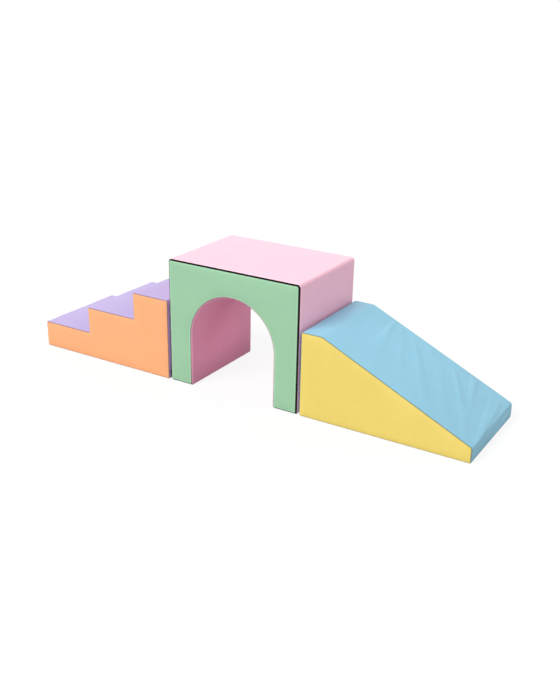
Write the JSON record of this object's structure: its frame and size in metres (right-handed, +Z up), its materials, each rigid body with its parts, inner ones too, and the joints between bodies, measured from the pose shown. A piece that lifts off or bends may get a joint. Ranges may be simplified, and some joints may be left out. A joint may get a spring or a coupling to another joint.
{
  "type": "soft play tunnel",
  "caption": "Soft play tunnel with an arched crawl-through opening, steps up on one side and a slide down on the other, each a foam block in a zipped cover.",
  "frame": {"origin": "on the floor under the middle of the tunnel block, within 6 mm of the middle of the whole set", "axes": "+Z up, +X from the steps towards the slide, -Y out of the front face with the zip round it"},
  "size_m": [1.991, 0.446, 0.523],
  "materials": {
    "mint_vinyl": "matte leatherette with a fine grain",
    "pink_vinyl": "matte leatherette with a fine grain",
    "rose_vinyl": "matte leatherette with a fine grain",
    "orange_vinyl": "matte leatherette with a fine grain",
    "lilac_vinyl": "matte leatherette with a fine grain",
    "yellow_vinyl": "matte leatherette with a fine grain",
    "blue_vinyl": "matte leatherette with a fine grain",
    "grip_fabric": "coated woven, non-slip",
    "foam": "open-cell foam, dull",
    "zip_tape": "black woven tape",
    "zip_teeth": "black nylon coil",
    "zip_metal": "black enamel",
    "hook_and_loop": "black pile"
  },
  "bodies": {
    "tunnel": {"tunnel_arch_lining": "rose_vinyl", "tunnel_foam_core": "foam", "tunnel_front_panel": "mint_vinyl", "tunnel_left_foot_base": "grip_fabric", "tunnel_left_loop_strip_front": "hook_and_loop", "tunnel_left_loop_strip_rear": "hook_and_loop", "tunnel_outer_band": "pink_vinyl", "tunnel_rear_panel": "mint_vinyl", "tunnel_right_foot_base": "grip_fabric", "tunnel_right_loop_strip_front": "hook_and_loop", "tunnel_right_loop_strip_rear": "hook_and_loop", "tunnel_zip_face_tape": "zip_tape", "tunnel_zip_face_teeth": "zip_teeth", "tunnel_zip_first_stop": "zip_metal", "tunnel_zip_last_stop": "zip_metal", "tunnel_zip_wall_tape": "zip_tape", "tunnel_zip_wall_teeth": "zip_teeth"},
    "steps": {"steps_base": "orange_vinyl", "steps_end_wall": "lilac_vinyl", "steps_foam_core": "foam", "steps_front_panel": "orange_vinyl", "steps_hook_strip_front": "hook_and_loop", "steps_hook_strip_rear": "hook_and_loop", "steps_rear_panel": "orange_vinyl", "steps_tread_strip": "lilac_vinyl", "steps_zip_face_tape": "zip_tape", "steps_zip_face_teeth": "zip_teeth", "steps_zip_first_stop": "zip_metal", "steps_zip_last_stop": "zip_metal", "steps_zip_wall_tape": "zip_tape", "steps_zip_wall_teeth": "zip_teeth"},
    "slide": {"slide_base": "yellow_vinyl", "slide_end_wall": "blue_vinyl", "slide_foam_core": "foam", "slide_front_panel": "yellow_vinyl", "slide_hook_strip_front": "hook_and_loop", "slide_hook_strip_rear": "hook_and_loop", "slide_rear_panel": "yellow_vinyl", "slide_run_strip": "blue_vinyl", "slide_zip_face_tape": "zip_tape", "slide_zip_face_teeth": "zip_teeth", "slide_zip_first_stop": "zip_metal", "slide_zip_last_stop": "zip_metal", "slide_zip_wall_tape": "zip_tape", "slide_zip_wall_teeth": "zip_teeth"},
    "slide_zip_pull": {"slide_zip_pull": "zip_metal"},
    "slide_zip_slider": {"slide_zip_slider": "zip_metal"},
    "steps_zip_pull": {"steps_zip_pull": "zip_metal"},
    "steps_zip_slider": {"steps_zip_slider": "zip_metal"},
    "tunnel_zip_pull": {"tunnel_zip_pull": "zip_metal"},
    "tunnel_zip_slider": {"tunnel_zip_slider": "zip_metal"}
  },
  "joints": [
    {"name": "steps_pull_away", "type": "slide", "parent": "tunnel", "child": "steps", "axis": [-1, 0, 0], "range_m": [0, 0.4]},
    {"name": "slide_pull_away", "type": "slide", "parent": "tunnel", "child": "slide", "axis": [1, 0, 0], "range_m": [0, 0.4]},
    {"name": "tunnel_zip_run", "type": "slide", "parent": "tunnel", "child": "tunnel_zip_slider", "axis": [0, 0, 1], "range_m": [0, 0.45]},
    {"name": "tunnel_zip_pull_hinge", "type": "hinge", "parent": "tunnel_zip_slider", "child": "tunnel_zip_pull", "pos_m": [-0.29883, -0.21883, 0.038], "axis": [-0.7071, 0.7071, 0], "range_deg": [0, 170]},
    {"name": "steps_zip_run", "type": "slide", "parent": "steps", "child": "steps_zip_slider", "axis": [0, 0, -1], "range_m": [0, 0.28]},
    {"name": "steps_zip_pull_hinge", "type": "hinge", "parent": "steps_zip_slider", "child": "steps_zip_pull", "pos_m": [-0.30917, 0.21883, 0.318], "axis": [0.7071, -0.7071, 0], "range_deg": [0, 170]},
    {"name": "slide_zip_run", "type": "slide", "parent": "slide", "child": "slide_zip_slider", "axis": [0, 0, -1], "range_m": [0, 0.28]},
    {"name": "slide_zip_pull_hinge", "type": "hinge", "parent": "slide_zip_slider", "child": "slide_zip_pull", "pos_m": [0.31117, 0.21883, 0.318], "axis": [0.7071, 0.7071, 0], "range_deg": [0, 170]}
  ]
}
